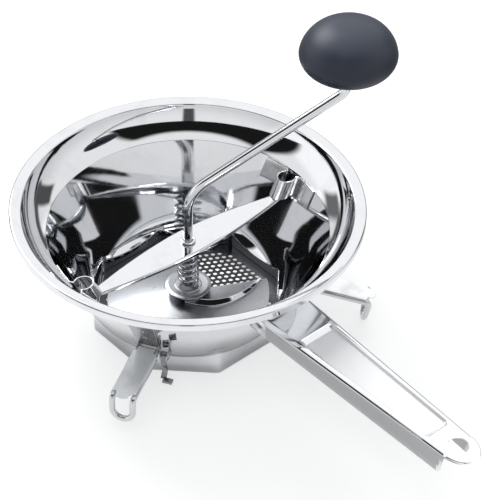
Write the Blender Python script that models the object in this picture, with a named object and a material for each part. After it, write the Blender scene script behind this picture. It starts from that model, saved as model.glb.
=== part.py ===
"""A hand cranked food mill: flared bowl with an eight sided skirt, perforated sieve, presser
blade on a sprung crank, locking crossbar, channel handle and three folding support arms.

Metres, +Z up, +X along the handle. The mill stands on the skirt's hem at z = 0, and the
origin is under the middle of its bounding box. Angles about the bowl start at the handle.
"""

import math

import bmesh
import bpy
from mathutils import Vector

for leftover in list(bpy.data.objects):
    bpy.data.objects.remove(leftover, do_unlink=True)

MM = 0.001

# Shared clearances
gap = 0.3 * MM
ease = 0.6 * MM
overrun = 2 * MM
weld_distance = 0.002 * MM

# Bowl, sizes of its inner face
rim_radius = 120 * MM
rim_width = 8 * MM
rim_height = 96 * MM
rim_hem_depth = 5 * MM
rim_corner = 1.4 * MM
rim_corner_sweep = math.radians(100)
rim_corner_steps = 3
lip_radius = rim_radius - rim_width
lip_drop = 1.2 * MM
collar_width = 16 * MM
crease_radius = lip_radius - collar_width
crease_drop = 21 * MM
crease_height = rim_height - crease_drop
collar_bulge = 2.2 * MM
bowl_wall = 1 * MM
wall_lean = math.radians(26)
wall_spread = math.tan(wall_lean)
shoulder_height = 30 * MM
shoulder_radius = crease_radius - (crease_height - shoulder_height) * wall_spread
shoulder_width = 11.95 * MM
shoulder_end_slope = 0.65
skirt_apothem = shoulder_radius - shoulder_width
skirt_sides = 8
hem_width = 2.4 * MM
ledge_top = 6.2 * MM
ledge_width = 4.6 * MM
bowl_steps = 48
collar_steps = 5
shoulder_steps = 3

# Sieve
sieve_thickness = 0.8 * MM
sieve_hole = 4.3 * MM
sieve_pitch = 8.4 * MM
sieve_plain_middle = 15 * MM
sieve_plain_border = 5 * MM
sieve_hole_sides = 6

# Crank rod and knob
rod_radius = 3.3 * MM
rod_foot = 2.5 * MM
crank_angle = math.radians(60)
crank_low_bend = 104.5 * MM
crank_reach = 105 * MM
crank_high_bend = 175 * MM
crank_low_bend_radius = 28 * MM
crank_high_bend_radius = 9 * MM
crank_bend_steps = 6
knob_base = 191 * MM
knob_radius = 32.4 * MM
knob_height = 37 * MM
knob_lean = 1.5 * MM
knob_bore_depth = 16 * MM
knob_steps = 32
knob_radius_shares = (0.27, 0.62, 0.9, 1.0, 0.97, 0.865, 0.65, 0.34, 0.0)
knob_height_shares = (0.0, 0.055, 0.19, 0.38, 0.52, 0.7, 0.87, 0.975, 1.0)
rod_collar_radius = 5.2 * MM
rod_collar_height = 1.8 * MM

# Crossbar
bar_drop = 14 * MM
bar_top = crease_height - bar_drop
bar_setback = 17 * MM
bar_reach = crease_radius - bar_setback
bar_bow = 1.6 * MM
bar_half_width = 12.8 * MM
bar_tip_half_width = 3.2 * MM
bar_taper_power = 1.6
bar_flange = 3.8 * MM
bar_tip_flange = 2.2 * MM
bar_thickness = 1 * MM
bar_corner = 1.6 * MM
bar_angle = math.radians(88.5)
bar_steps = 20

# Clips on the wall that hold the crossbar's tips
clip_height = 13 * MM
clip_thickness = 0.8 * MM
clip_tube_radius = 6.2 * MM
clip_tube_stand_off = 0.9 * MM
clip_wing = 19 * MM
clip_fillet = 2.4 * MM
clip_mouth = math.radians(38)
clip_steps = 16

# Hub, spring and presser blade
hub_top = 24 * MM
hub_flange_radius = 16 * MM
hub_flange_height = 1.6 * MM
hub_boss_radius = 7.2 * MM
hub_foot = 8.4 * MM
blade_clearance = 5.6 * MM
blade_radius = skirt_apothem - blade_clearance
blade_thickness = 0.9 * MM
blade_low = 9.6 * MM
blade_rise = 8 * MM
blade_hub_height = 17.4 * MM
blade_start = math.radians(-228)
blade_sweep = math.radians(290)
blade_rise_power = 4
blade_turns = 36
blade_rows = 4
vane_thickness = 0.8 * MM
vane_top = 21.6 * MM
vane_tip_top = 19.4 * MM
vane_foot_lift = 1.4 * MM
vane_start = math.radians(-50)
vane_sweep = math.radians(112)
vane_twist = math.radians(4)
vane_low_share = 0.12
vane_low_growth = 0.8
vane_high_share = 0.03
vane_high_growth = 0.84
vane_steps = 14
spring_radius = 6.4 * MM
spring_wire = 1.1 * MM
spring_turns = 6
spring_points = 9
washer_radius = 8.8 * MM
washer_height = 1 * MM

# Handle
handle_drop = 6.1 * MM
handle_top = crease_height - handle_drop
handle_slope = math.radians(1.5)
handle_root_half_width = 20 * MM
handle_end_half_width = 13 * MM
handle_length = 157 * MM
handle_end = crease_radius + handle_length
handle_tip_length = 17 * MM
handle_tip = handle_end + handle_tip_length
handle_tip_turn = math.radians(70)
handle_tip_steps = 7
handle_root_flange = 12.6 * MM
handle_end_flange = 17 * MM
handle_thickness = 1 * MM
handle_corner = 1.6 * MM
handle_lip = 2 * MM
handle_flange_run_out = 3 * MM
recess_root = 30 * MM
recess_start = crease_radius + recess_root
recess_setback = 14 * MM
recess_end = handle_end - recess_setback
recess_depth = 2.2 * MM
recess_border = 3.4 * MM
recess_slope_width = 1.8 * MM
recess_steps = 5
hanging_hole_radius = 6.9 * MM
hanging_hole_setback = 15 * MM
hanging_hole_place = handle_tip - hanging_hole_setback
hanging_hole_sides = 24

# Support arms, each with a bracket, a pin, a strap and a bent wire
arm_angles = {"front": math.radians(-59.8), "right": math.radians(45), "rear": math.radians(180)}
arm_droops = {"front": 0.0, "right": math.radians(15), "rear": 0.0}
arm_pin_height = 33 * MM
arm_pin_radius = 1.4 * MM
arm_length = 34 * MM
arm_reach = crease_radius + arm_length
pin_sides = 16
strap_half_width = 7.8 * MM
strap_thickness = 1 * MM
strap_knuckle_half_width = 5.9 * MM
strap_neck = 4.2 * MM
strap_neck_run = 0.6 * MM
strap_curl_end = math.radians(330)
strap_corner_setback = 5.5 * MM
strap_notch = 1 * MM
strap_tongue_half_width = 4.3 * MM
strap_tongue_overhang = 1.6 * MM
strap_tongue_bow = 2.4 * MM
strap_rows = 5
strap_curl_steps = 12
arm_wire = 2.1 * MM
hook_half_width = 9.2 * MM
hook_length = 19.5 * MM
hook_angle = math.radians(88)
hook_bend = 3.4 * MM
hook_bend_steps = 4
hook_turn_steps = 8
bracket_drop = 11 * MM
bracket_top = crease_height - bracket_drop
bracket_thickness = 1 * MM
bracket_ear = 1.2 * MM
bracket_ear_height = 7.6 * MM
bracket_steps = 4
ear_nose_steps = 6

# Sieve latch beside the front arm
latch_offset = 10.3 * MM
latch_half_width = 2 * MM
latch_thickness = 1.1 * MM
latch_pin_height = 29 * MM
latch_foot = 8.6 * MM
latch_waist = 2.6 * MM
latch_out_shares = (0.3, 0.05, -0.75, -0.35, 0.5)
latch_down_shares = (0.2, 0.42, 0.66, 0.86, 1.0)
latch_curl_start = math.radians(150)
latch_curl_end = math.radians(-60)
latch_curl_steps = 10
latch_finger = 5 * MM
latch_finger_width = 4.2 * MM
latch_finger_thickness = 2.2 * MM
keeper_half_width = 2.4 * MM
keeper_clearance = 0.4 * MM
keeper_base = 7.5 * MM
keeper_depth = 3 * MM
keeper_setback = 4.8 * MM

# Worked out from the sizes above
wall_across = bowl_wall / math.cos(wall_lean)
skirt_outer_apothem = skirt_apothem + bowl_wall
rod_bore = rod_radius + gap
arm_knuckle = arm_pin_radius + gap + strap_thickness


def material(name, colour, roughness, metallic):
    made = bpy.data.materials.new(name)
    made.use_nodes = True
    shader = made.node_tree.nodes["Principled BSDF"]
    shader.inputs["Base Color"].default_value = (*colour, 1)
    shader.inputs["Roughness"].default_value = roughness
    shader.inputs["Metallic"].default_value = metallic
    return made


mirror_steel = material("mirror_steel", (0.72, 0.73, 0.75), 0.08, 1)
brushed_steel = material("brushed_steel", (0.6, 0.61, 0.62), 0.3, 1)
spring_steel = material("spring_steel", (0.45, 0.46, 0.48), 0.25, 1)
dark_plastic = material("dark_plastic", (0.03, 0.04, 0.06), 0.38, 0)

mill = bpy.data.objects.new("mill", None)
bpy.context.collection.objects.link(mill)


def place(piece, parent, location=(0, 0, 0), rotation=(0, 0, 0)):
    bpy.context.collection.objects.link(piece)
    piece.parent = parent
    piece.location = location
    piece.rotation_euler = rotation
    return piece


def joint_empty(name, parent, location, rotation=(0, 0, 0)):
    """Stands on a joint's axis and carries the pieces that the joint moves."""
    return place(bpy.data.objects.new(name, None), parent, location, rotation)


def solid(name, points, faces, look, parent=None, sharp=math.radians(35)):
    mesh = bpy.data.meshes.new(name)
    mesh.from_pydata([tuple(point) for point in points], [], faces)
    shape = bmesh.new()
    shape.from_mesh(mesh)
    bmesh.ops.remove_doubles(shape, verts=shape.verts, dist=weld_distance)
    bmesh.ops.recalc_face_normals(shape, faces=shape.faces)
    shape.to_mesh(mesh)
    shape.free()
    mesh.shade_smooth()
    mesh.set_sharp_from_angle(angle=sharp)
    mesh.materials.append(look)
    return place(bpy.data.objects.new(name, mesh), parent or mill)


def rings_to_solid(name, rings, look, parent=None, closed=False, capped=True):
    """Skins rings of equal counts; closed joins the last ring to the first."""
    count = len(rings[0])
    points = [point for ring in rings for point in ring]
    faces = []
    for ring in range(len(rings) if closed else len(rings) - 1):
        near = ring * count
        far = (ring + 1) % len(rings) * count
        for step in range(count):
            side = (step + 1) % count
            faces.append((near + step, near + side, far + side, far + step))
    if capped and not closed:
        faces.append(tuple(reversed(range(count))))
        faces.append(tuple(range(len(points) - count, len(points))))
    return solid(name, points, faces, look, parent)


def polar(radius, angle, height):
    return Vector((radius * math.cos(angle), radius * math.sin(angle), height))


def turned(name, profile, look, parent=None, steps=32, bored=False):
    """Turns a profile of radii and heights about Z; a bored one is a closed outline."""
    rings = []
    for radius, height in profile:
        rings.append([polar(radius, 2 * math.pi * step / steps, height) for step in range(steps)])
    return rings_to_solid(name, rings, look, parent, closed=bored, capped=False)


def sheet(name, grid, thickness, look, parent=None):
    """A grid of points with the metal's thickness added behind its faces."""
    columns = len(grid[0])
    points = [point for row in grid for point in row]
    faces = []
    for row in range(len(grid) - 1):
        for column in range(columns - 1):
            corner = row * columns + column
            faces.append((corner, corner + 1, corner + columns + 1, corner + columns))
    mesh = bpy.data.meshes.new(name)
    mesh.from_pydata([tuple(point) for point in points], [], faces)
    mesh.shade_smooth()
    mesh.set_sharp_from_angle(angle=math.radians(35))
    mesh.materials.append(look)
    made = place(bpy.data.objects.new(name, mesh), parent or mill)
    solidify = made.modifiers.new("metal", "SOLIDIFY")
    solidify.thickness = thickness
    solidify.offset = -1
    solidify.use_even_offset = True
    return made


def prism(name, outline, start, end, look, parent=None, plane="XY"):
    """Extrudes an outline at right angles to its plane, from start to end."""
    def point(first, second, depth):
        if plane == "XY":
            return Vector((first, second, depth))
        return Vector((first, depth, second))

    rings = [[point(*corner, start) for corner in outline], [point(*corner, end) for corner in outline]]
    return rings_to_solid(name, rings, look, parent)


def arc(centre, radius, start, end, steps):
    points = []
    for step in range(steps + 1):
        angle = start + (end - start) * step / steps
        points.append((centre[0] + radius * math.cos(angle), centre[1] + radius * math.sin(angle)))
    return points


def circle(centre, radius, sides):
    return arc(centre, radius, 0, 2 * math.pi, sides)[:-1]


def combine(target, others, operation):
    for other in others:
        other.hide_render = True
        other.display_type = "WIRE"
        step = target.modifiers.new(other.name, "BOOLEAN")
        step.operation = operation
        step.solver = "EXACT"
        step.object = other


def wire(name, points, radius, look, parent=None, resolution=2):
    curve = bpy.data.curves.new(name, "CURVE")
    curve.dimensions = "3D"
    curve.bevel_depth = radius
    curve.bevel_resolution = resolution
    curve.use_fill_caps = True
    spline = curve.splines.new("POLY")
    spline.points.add(len(points) - 1)
    for slot, point in zip(spline.points, points):
        slot.co = (*point, 1)
    curve.materials.append(look)
    return place(bpy.data.objects.new(name, curve), parent or mill)


def rounded(points, radii, steps):
    """Replaces each inner corner of a route with an arc of its own radius."""
    route = [points[0]]
    for before, corner, after, radius in zip(points, points[1:], points[2:], radii):
        inward = (before - corner).normalized()
        outward = (after - corner).normalized()
        half = inward.angle(outward) / 2
        centre = corner + (inward + outward).normalized() * radius / math.sin(half)
        start = (corner + inward * radius / math.tan(half) - centre).normalized()
        end = (corner + outward * radius / math.tan(half) - centre).normalized()
        for step in range(steps + 1):
            route.append(centre + start.slerp(end, step / steps) * radius)
    route.append(points[-1])
    return route


def offset_line(line, distance):
    """Moves a line of radii and heights sideways, to the right of its direction."""
    moved = []
    for index, point in enumerate(line):
        here = Vector(point)
        into = here - Vector(line[index - 1]) if index else Vector(line[1]) - here
        out = Vector(line[index + 1]) - here if index < len(line) - 1 else into
        normal = Vector((into.y, -into.x)).normalized() + Vector((out.y, -out.x)).normalized()
        reach = distance / math.cos(into.angle(out) / 2)
        moved.append(tuple(here + normal.normalized() * reach))
    return moved


def wall_radius(height, outside=False):
    """The bowl's cone at a height, on its inner or outer face."""
    radius = crease_radius - (crease_height - height) * wall_spread
    return radius + wall_across if outside else radius


def skirt_radius(apothem, angle):
    turn = 2 * math.pi / skirt_sides
    return apothem / math.cos((angle + turn / 2) % turn - turn / 2)


def shoulder_at(radius, top_radius, apothem):
    """Height of the curved shoulder between the cone and the skirt's flats."""
    inward = top_radius - radius
    bend = (1 / wall_spread - shoulder_end_slope) / (2 * (top_radius - apothem))
    return shoulder_height - inward / wall_spread + bend * inward ** 2


def build_bowl():
    angles = [2 * math.pi * step / bowl_steps for step in range(bowl_steps)]

    def flat_ring(apothem, height):
        return [polar(skirt_radius(apothem, angle), angle, height) for angle in angles]

    def round_ring(radius, height):
        return [polar(radius, angle, height) for angle in angles]

    def shoulder_rings(top_radius, apothem):
        rings = []
        for step in range(shoulder_steps + 1):
            ring = []
            for angle in angles:
                low = skirt_radius(apothem, angle)
                radius = low + (top_radius - low) * step / shoulder_steps
                ring.append(polar(radius, angle, shoulder_at(radius, top_radius, apothem)))
            rings.append(ring)
        return rings

    chord = Vector((lip_radius - crease_radius, crease_drop - lip_drop))
    bulge = Vector((chord.y, -chord.x)).normalized() * collar_bulge
    upper = [(wall_radius(shoulder_height), shoulder_height)]
    for step in range(collar_steps + 1):
        share = step / collar_steps
        point = Vector((crease_radius, crease_height)) + chord * share + bulge * 4 * share * (1 - share)
        upper.append(tuple(point))
    corner = (rim_radius - rim_corner, rim_height - rim_corner)
    upper += arc(corner, rim_corner, rim_corner_sweep, 0, rim_corner_steps)
    upper.append((rim_radius, rim_height - rim_hem_depth))
    under = offset_line(upper, bowl_wall)

    rings = [flat_ring(skirt_outer_apothem - hem_width, 0), flat_ring(skirt_outer_apothem, 0)]
    rings += shoulder_rings(shoulder_radius + wall_across, skirt_outer_apothem)
    rings += [round_ring(*point) for point in under[1:]]
    rings += [round_ring(*point) for point in reversed(upper[1:])]
    rings += reversed(shoulder_rings(shoulder_radius, skirt_apothem))
    rings.append(flat_ring(skirt_apothem, ledge_top))
    rings.append(flat_ring(skirt_apothem - ledge_width, ledge_top))
    rings.append(flat_ring(skirt_apothem - ledge_width, ledge_top - bowl_wall))
    rings.append(flat_ring(skirt_outer_apothem - hem_width, ledge_top - bowl_wall))
    rings_to_solid("bowl", rings, mirror_steel, closed=True)


def build_sieve():
    bottom = ledge_top + gap
    top = bottom + sieve_thickness
    corner = (skirt_apothem - gap) / math.cos(math.pi / skirt_sides)
    outline = []
    for side in range(skirt_sides):
        angle = 2 * math.pi * (side + 1 / 2) / skirt_sides
        outline.append(tuple(polar(corner, angle, 0).xy))
    sieve = prism("sieve_disc", outline, bottom, top, brushed_steel)
    centres = []
    row_step = sieve_pitch * math.sin(math.pi / 3)
    reach = skirt_apothem - sieve_plain_border - sieve_hole / 2
    rows = int(reach / row_step)
    points = []
    faces = []
    for row in range(-rows, rows + 1):
        shift = sieve_pitch / 2 * (row % 2)
        places = int(reach / sieve_pitch) + 1
        for column in range(-places, places + 1):
            centre = Vector((column * sieve_pitch + shift, row * row_step))
            if sieve_plain_middle < centre.length < reach:
                centres.append(centre)
    sides = sieve_hole_sides
    for centre in centres:
        first = len(points)
        for height in (bottom - overrun, top + overrun):
            for side in range(sides):
                points.append(polar(sieve_hole / 2, 2 * math.pi * side / sides, height) + centre.to_3d())
        faces.append(tuple(first + side for side in reversed(range(sides))))
        faces.append(tuple(first + sides + side for side in range(sides)))
        for side in range(sides):
            after = (side + 1) % sides
            faces.append((first + side, first + after, first + sides + after, first + sides + side))
    holes = solid("sieve_holes", points, faces, brushed_steel)
    middle = turned("sieve_middle", [(0, 0), (rod_bore + gap, 0), (rod_bore + gap, top + overrun),
                                     (0, top + overrun)], brushed_steel, steps=16)
    combine(sieve, [holes, middle], "DIFFERENCE")


def build_crank(crank):
    outward = Vector((math.cos(crank_angle), math.sin(crank_angle), 0))
    corners = [
        Vector((0, 0, rod_foot)),
        Vector((0, 0, crank_low_bend)),
        outward * crank_reach + Vector((0, 0, crank_high_bend)),
        outward * crank_reach + Vector((0, 0, knob_base + knob_bore_depth - gap)),
    ]
    route = rounded(corners, (crank_low_bend_radius, crank_high_bend_radius), crank_bend_steps)
    wire("crank_rod", route, rod_radius, mirror_steel, crank, 3)
    collar_base = bar_top + bar_bow + gap
    collar_top = collar_base + rod_collar_height
    turned("rod_collar", [(rod_bore, collar_base), (rod_collar_radius, collar_base),
                          (rod_collar_radius, collar_top), (rod_bore, collar_top)],
           mirror_steel, crank, 24, bored=True)

    # The knob turns on the rod's upright end, and its crown leans outward
    spin = joint_empty("knob_axis", crank, outward * crank_reach + Vector((0, 0, knob_base)))
    profile = [(0, knob_bore_depth, 0), (rod_bore, knob_bore_depth, 0), (rod_bore, 0, 0)]
    for radius_share, height_share in zip(knob_radius_shares, knob_height_shares):
        lean = knob_lean * height_share ** 2
        profile.append((knob_radius * radius_share, knob_height * height_share, lean))
    rings = []
    for radius, height, lean in profile:
        ring = [polar(radius, 2 * math.pi * step / knob_steps, height) for step in range(knob_steps)]
        rings.append([point + outward * lean for point in ring])
    rings_to_solid("knob", rings, dark_plastic, spin, capped=False)


def build_hub_and_blade(crank):
    flange_base = hub_top - hub_flange_height
    turned("blade_hub", [(rod_bore, hub_foot), (hub_boss_radius, hub_foot), (hub_boss_radius, flange_base),
                         (hub_flange_radius, flange_base), (hub_flange_radius, hub_top),
                         (rod_bore, hub_top)], mirror_steel, crank, 28, bored=True)

    inner = hub_boss_radius + gap
    spread = blade_radius - inner

    def blade_height(angle, out):
        share = (angle - blade_start) / blade_sweep
        edge = blade_low + blade_rise * share ** blade_rise_power
        return blade_hub_height + (edge - blade_hub_height) * out

    grid = []
    for row in range(blade_rows + 1):
        out = 1 - row / blade_rows
        angles = [blade_start + blade_sweep * turn / blade_turns for turn in range(blade_turns + 1)]
        grid.append([polar(inner + spread * out, angle, blade_height(angle, out)) for angle in angles])
    sheet("presser_blade", grid, blade_thickness, mirror_steel, crank)

    # A leaf shaped vane wraps the hub and runs out to the blade's raised edge
    grid = [[], []]
    for step in range(vane_steps + 1):
        share = step / vane_steps
        angle = vane_start + vane_sweep * share
        low_out = vane_low_share + vane_low_growth * share ** 2
        high_out = vane_high_share + vane_high_growth * share ** 2
        low = blade_height(angle, low_out) + vane_foot_lift
        high = vane_top + (vane_tip_top - vane_top) * share
        grid[0].append(polar(inner + spread * low_out, angle, low))
        grid[1].append(polar(inner + spread * high_out, angle + (1 - share) * vane_twist, high))
    sheet("hub_vane", grid, vane_thickness, mirror_steel, crank)


def build_spring(press):
    """A wound spring from the hub's flange to the washer under the crossbar."""
    start = hub_top + gap
    end = bar_top + bar_bow - bar_thickness - ease - washer_height
    straight = 2 * spring_wire
    points = [polar(spring_radius, 0, start)]
    total = spring_turns * spring_points
    climb = end - start - 2 * straight
    for step in range(total + 1):
        angle = 2 * math.pi * step / spring_points
        points.append(polar(spring_radius, angle, start + straight + climb * step / total))
    points.append(polar(spring_radius, 2 * math.pi * spring_turns, end))
    wire("spring", points, spring_wire, spring_steel, press, 1)
    coil = points[1:-1]
    least = min((a - b).length for index, a in enumerate(coil)
                for b in coil[index + spring_points // 2:])
    print("spring: least gap to itself", round((least - 2 * spring_wire) / MM, 2), "mm")

    base = end + gap
    turned("spring_washer", [(rod_bore, base), (washer_radius, base), (washer_radius, base + washer_height),
                             (rod_bore, base + washer_height)], brushed_steel, press, 24, bored=True)


def build_crossbar(press):
    axis = joint_empty("crossbar_axis", press, (0, 0, 0), (0, 0, bar_angle))
    grid = []
    for step in range(bar_steps + 1):
        along = -bar_reach + 2 * bar_reach * step / bar_steps
        share = abs(along) / bar_reach
        half = bar_tip_half_width
        half += (bar_half_width - bar_tip_half_width) * (1 - share ** bar_taper_power)
        flange = bar_flange + (bar_tip_flange - bar_flange) * share ** 2
        level = bar_top + bar_bow * (1 - share ** 2)
        side = [(half, level - flange), (half, level - bar_corner), (half - bar_corner, level)]
        line = side + [(0, level)] + [(-across, height) for across, height in reversed(side)]
        grid.append([Vector((along, across, height)) for across, height in line])
    bar = sheet("crossbar", grid, bar_thickness, mirror_steel, axis)
    hole_end = bar_top + bar_bow + overrun
    hole = turned("crossbar_hole", [(0, 0), (rod_bore, 0), (rod_bore, hole_end), (0, hole_end)],
                  mirror_steel, axis, 24)
    combine(bar, [hole], "DIFFERENCE")


def build_clips():
    """Strips riveted to the wall, each folded into an upright tube over a crossbar tip."""
    centre = clip_tube_stand_off + clip_tube_radius
    tube = []
    for step in range(clip_steps + 1):
        turn = clip_mouth + (2 * math.pi - 2 * clip_mouth) * step / clip_steps
        tube.append((-clip_tube_radius * math.sin(turn), centre - clip_tube_radius * math.cos(turn)))
    near = tube[0][0] - clip_fillet
    route = [(near - clip_wing, 0), (near, 0)] + tube + [(-near, 0), (-near + clip_wing, 0)]
    base = bar_top + gap
    for name, angle in (("clip_left", bar_angle + math.pi), ("clip_right", bar_angle)):
        grid = []
        for height in (base, base + clip_height):
            face = wall_radius(height) - gap
            grid.append([polar(face - inward, angle + along / face, height) for along, inward in route])
        sheet(name, grid, clip_thickness, brushed_steel)


def build_handle():
    """A tapered channel with a pressed recess, a rounded tip and a hanging hole."""
    def top_at(along):
        return handle_top - (along - crease_radius) * math.tan(handle_slope)

    def half_width_at(along):
        share = (along - crease_radius) / (handle_end - crease_radius)
        return handle_root_half_width + (handle_end_half_width - handle_root_half_width) * share

    def flange_at(along):
        share = (along - crease_radius) / (handle_end - crease_radius)
        full = handle_root_flange + (handle_end_flange - handle_root_flange) * share
        if along <= handle_end:
            return full
        run = min((along - handle_end) / handle_flange_run_out, 1)
        return full + (handle_lip - full) * run

    # Stations: place along the handle, share of the recess's depth, share of the width
    stations = [(None, 0, 1), (recess_start - recess_slope_width, 0, 1), (recess_start, 0, 1)]
    for step in range(recess_steps + 1):
        along = recess_start + recess_slope_width
        along += (recess_end - recess_start - 2 * recess_slope_width) * step / recess_steps
        stations.append((along, 1, 1))
    stations += [(recess_end, 0, 1), (handle_end, 0, 1)]
    for step in range(1, handle_tip_steps + 1):
        turn = handle_tip_turn * step / handle_tip_steps
        along = handle_end + (handle_tip - handle_end) * math.sin(turn) / math.sin(handle_tip_turn)
        stations.append((along, 0, math.cos(turn)))

    grid = []
    for along, pressed, narrowing in stations:
        reach = crease_radius if along is None else along
        half = half_width_at(min(reach, handle_end)) * narrowing
        flange = flange_at(reach)
        inset = half - handle_corner - recess_border * half / handle_root_half_width
        floor = inset - recess_slope_width * half / handle_root_half_width
        side = [(half, -flange), (half, -handle_corner), (half - handle_corner, 0), (inset, 0),
                (floor, -recess_depth * pressed)]
        line = side + [(0, -recess_depth * pressed)] + [(-across, drop) for across, drop in reversed(side)]
        row = []
        for across, drop in line:
            start = along
            if along is None:
                height = top_at(crease_radius) + drop
                face = wall_radius(height, True) + gap
                start = math.sqrt(face ** 2 - across ** 2)
            row.append(Vector((start, across, top_at(start) + drop)))
        grid.append(row)
    handle = sheet("handle", grid, handle_thickness, mirror_steel)
    place_of_hole = top_at(hanging_hole_place)
    rim = circle((hanging_hole_place, 0), hanging_hole_radius, hanging_hole_sides)
    hole = prism("hanging_hole", rim, place_of_hole - 2 * overrun, place_of_hole + overrun, mirror_steel)
    combine(handle, [hole], "DIFFERENCE")


def build_arm(name, angle, droop):
    """A bracket on the wall, and a strap with its bent wire that folds about the pin."""
    plate_face = wall_radius(arm_pin_height, True) + gap
    pin_place = plate_face + (bracket_thickness + arm_knuckle + ease) / math.cos(wall_lean)
    ear_inside = strap_knuckle_half_width + gap
    ear_outside = ear_inside + bracket_ear
    ear_low = arm_pin_height - bracket_ear_height / 2
    ear_high = arm_pin_height + bracket_ear_height / 2

    # Bracket: a plate that follows the cone, and two ears
    half_turn = ear_outside / plate_face
    grid = []
    for height in (ear_low, ear_high, bracket_top):
        face = wall_radius(height, True) + gap + bracket_thickness / math.cos(wall_lean)
        turns = [half_turn * (2 * step / bracket_steps - 1) for step in range(bracket_steps + 1)]
        grid.append([polar(face, turn, height) for turn in turns])
    root = joint_empty("bracket_place_" + name, mill, (0, 0, 0), (0, 0, angle))
    plate = sheet("arm_bracket_" + name, grid, bracket_thickness, brushed_steel, root)
    sunk = gap + bracket_thickness / 2
    outline = [(wall_radius(ear_low, True) + sunk, ear_low), (wall_radius(ear_high, True) + sunk, ear_high)]
    nose = arm_pin_radius + ease + bracket_ear
    outline += reversed(arc((pin_place, arm_pin_height), nose, -math.pi / 2, math.pi / 2, ear_nose_steps))
    ears = []
    for near, far in ((-ear_outside, -ear_inside), (ear_inside, ear_outside)):
        ears.append(prism("ear", outline, near, far, brushed_steel, root, "XZ"))
    combine(plate, ears, "UNION")
    ring = circle((pin_place, arm_pin_height), arm_pin_radius + gap, pin_sides)
    bore = prism("ear_bore", ring, -ear_outside - overrun, ear_outside + overrun, brushed_steel, root, "XZ")
    combine(plate, [bore], "DIFFERENCE")

    # The hinge axis lies along the wall; the strap and wire are built about the pin
    hinge = joint_empty("arm_axis_" + name, mill, polar(pin_place, angle, arm_pin_height), (0, droop, angle))
    ring = circle((0, 0), arm_pin_radius, pin_sides)
    prism("arm_pin_" + name, ring, -ear_outside - gap, ear_outside + gap, spring_steel, hinge, "XZ")
    length = arm_reach - pin_place
    corner = length - strap_corner_setback
    columns = [
        (length + strap_tongue_overhang, arm_knuckle, strap_tongue_half_width),
        (corner + strap_notch, arm_knuckle, strap_tongue_half_width),
        (corner, arm_knuckle, strap_half_width),
        (strap_neck + strap_neck_run, arm_knuckle, strap_half_width),
        (strap_neck, arm_knuckle, strap_knuckle_half_width),
    ]
    for along, height in arc((0, 0), arm_knuckle, math.pi / 2, strap_curl_end, strap_curl_steps):
        columns.append((along, height, strap_knuckle_half_width))
    grid = []
    for row in range(strap_rows + 1):
        side = 1 - 2 * row / strap_rows
        line = [Vector((along, half * side, height)) for along, height, half in columns]
        line[0].x -= strap_tongue_bow * side ** 2
        grid.append(line)
    sheet("arm_strap_" + name, grid, strap_thickness, brushed_steel, hinge)

    side = hook_half_width - arm_wire
    under = arm_knuckle - strap_thickness - gap - arm_wire
    start = Vector((arm_knuckle + arm_wire + gap, 0, under))
    bend = Vector((length - arm_wire, 0, under))
    away = Vector((math.cos(hook_angle), 0, -math.sin(hook_angle)))
    turn_centre = bend + away * (hook_length - side - arm_wire)
    half_route = rounded([start, bend, turn_centre], (hook_bend,), hook_bend_steps)
    across = Vector((0, side, 0))
    route = [point - across for point in half_route]
    for step in range(1, hook_turn_steps):
        swing = math.pi * step / hook_turn_steps
        route.append(turn_centre + away * side * math.sin(swing) - across * math.cos(swing))
    route += [point + across for point in reversed(half_route)]
    wire("arm_wire_" + name, route, arm_wire, brushed_steel, hinge)


def build_latch():
    """A sprung strip on the skirt that holds the sieve in, with its pin and bracket."""
    root = joint_empty("latch_place", mill, (0, 0, 0), (0, 0, arm_angles["front"]))
    face = math.sqrt(wall_radius(latch_pin_height, True) ** 2 - latch_offset ** 2)
    knuckle = arm_pin_radius + gap + latch_thickness
    stand = face + knuckle + ease + bracket_thickness
    ear_near = latch_offset + latch_half_width + gap
    ear_far = ear_near + bracket_ear

    # Bracket: one ear beside the strip, standing on the wall
    outline = []
    for height in (latch_pin_height - knuckle, latch_pin_height + knuckle):
        wall = wall_radius(height, True) + gap
        outline.append((math.sqrt(wall ** 2 - ear_near ** 2), height))
    nose = arm_pin_radius + ease + bracket_ear
    outline += reversed(arc((stand, latch_pin_height), nose, -math.pi / 2, math.pi / 2, ear_nose_steps))
    ear = prism("latch_bracket", outline, ear_near, ear_far, brushed_steel, root, "XZ")
    ring = circle((stand, latch_pin_height), arm_pin_radius + gap, pin_sides)
    bore = prism("latch_bore", ring, ear_near - overrun, ear_far + overrun, brushed_steel, root, "XZ")
    combine(ear, [bore], "DIFFERENCE")

    hinge = joint_empty("latch_axis", root, (stand, latch_offset, latch_pin_height))
    ring = circle((0, 0), arm_pin_radius, pin_sides)
    prism("latch_pin", ring, -latch_half_width - gap, ear_far - latch_offset + gap, spring_steel, hinge, "XZ")
    drop = latch_foot - latch_pin_height
    route = arc((0, 0), knuckle, latch_curl_start, latch_curl_end, latch_curl_steps)
    for out_share, down_share in zip(latch_out_shares, latch_down_shares):
        route.append((latch_waist * out_share, drop * down_share))
    grid = []
    for across in (-latch_half_width, latch_half_width):
        grid.append([Vector((along, across, height)) for along, height in route])
    strip = sheet("latch_strip", grid, latch_thickness, spring_steel, hinge)
    near, low = route[-1]
    near -= latch_thickness
    low -= latch_thickness
    far = near + latch_finger_width
    high = low + latch_finger_thickness
    finger = prism("latch_finger", [(near, low), (far, low), (far, high), (near, high)], 0,
                   latch_half_width + latch_finger, spring_steel, hinge, "XZ")
    combine(strip, [finger], "UNION")


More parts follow.
